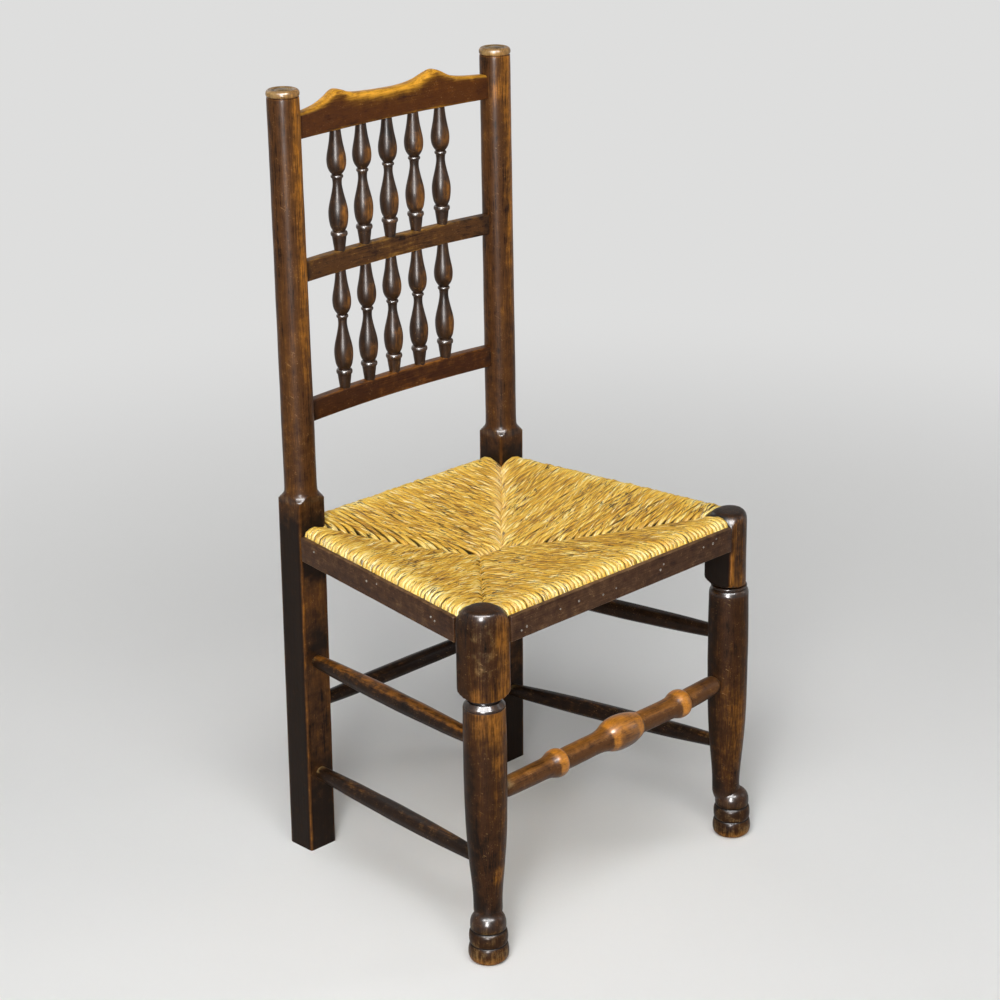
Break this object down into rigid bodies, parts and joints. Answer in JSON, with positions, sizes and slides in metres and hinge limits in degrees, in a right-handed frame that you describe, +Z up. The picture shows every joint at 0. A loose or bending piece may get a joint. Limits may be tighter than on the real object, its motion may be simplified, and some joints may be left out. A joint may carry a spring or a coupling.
{
  "type": "spindle back chair",
  "caption": "Side chair with two rows of turned spindles between bowed back rails, a woven rush seat, round stretchers and turned front legs on pad feet.",
  "frame": {"origin": "on the floor, in the middle of the chair's box", "axes": "+Z up, the front faces -Y, +X to the right seen from the front"},
  "size_m": [0.4784, 0.4108, 0.965],
  "materials": {
    "post_wood": "dark brown stained wood, waxed, worn to reddish brown",
    "leg_wood": "dark brown stained wood, waxed, worn on the edges",
    "crest_wood": "warm brown wood, waxed, worn to orange along the top",
    "rail_wood": "brown stained wood, waxed",
    "bare_wood": "bare sawn wood, hidden in the rush",
    "rush": "twisted rush cords, golden with brown and pale streaks, dull",
    "strip_wood": "dark stained thin strips, low sheen",
    "stretcher_wood": "dark stained shaved rods, low sheen",
    "front_stretcher_wood": "stained wood worn to orange on the turnings",
    "spindle_wood": "dark stained turned wood, polished by use"
  },
  "bodies": {
    "root": {"rear_post_left": "post_wood", "rear_post_right": "post_wood", "front_leg_left": "leg_wood", "front_leg_right": "leg_wood", "crest_rail": "crest_wood", "middle_back_rail": "rail_wood", "lower_back_rail": "rail_wood", "seat_rail_front": "bare_wood", "seat_rail_rear": "bare_wood", "seat_rail_left": "bare_wood", "seat_rail_right": "bare_wood", "rush_seat": "rush", "edge_strip_front": "strip_wood", "edge_strip_rear": "strip_wood", "edge_strip_left": "strip_wood", "edge_strip_right": "strip_wood", "side_stretcher_left_upper": "stretcher_wood", "side_stretcher_left_lower": "stretcher_wood", "side_stretcher_right_upper": "stretcher_wood", "side_stretcher_right_lower": "stretcher_wood", "rear_stretcher": "stretcher_wood", "front_stretcher": "front_stretcher_wood", "upper_spindle_1": "spindle_wood", "upper_spindle_2": "spindle_wood", "upper_spindle_3": "spindle_wood", "upper_spindle_4": "spindle_wood", "upper_spindle_5": "spindle_wood", "lower_spindle_1": "spindle_wood", "lower_spindle_2": "spindle_wood", "lower_spindle_3": "spindle_wood", "lower_spindle_4": "spindle_wood", "lower_spindle_5": "spindle_wood"}
  },
  "joints": []
}
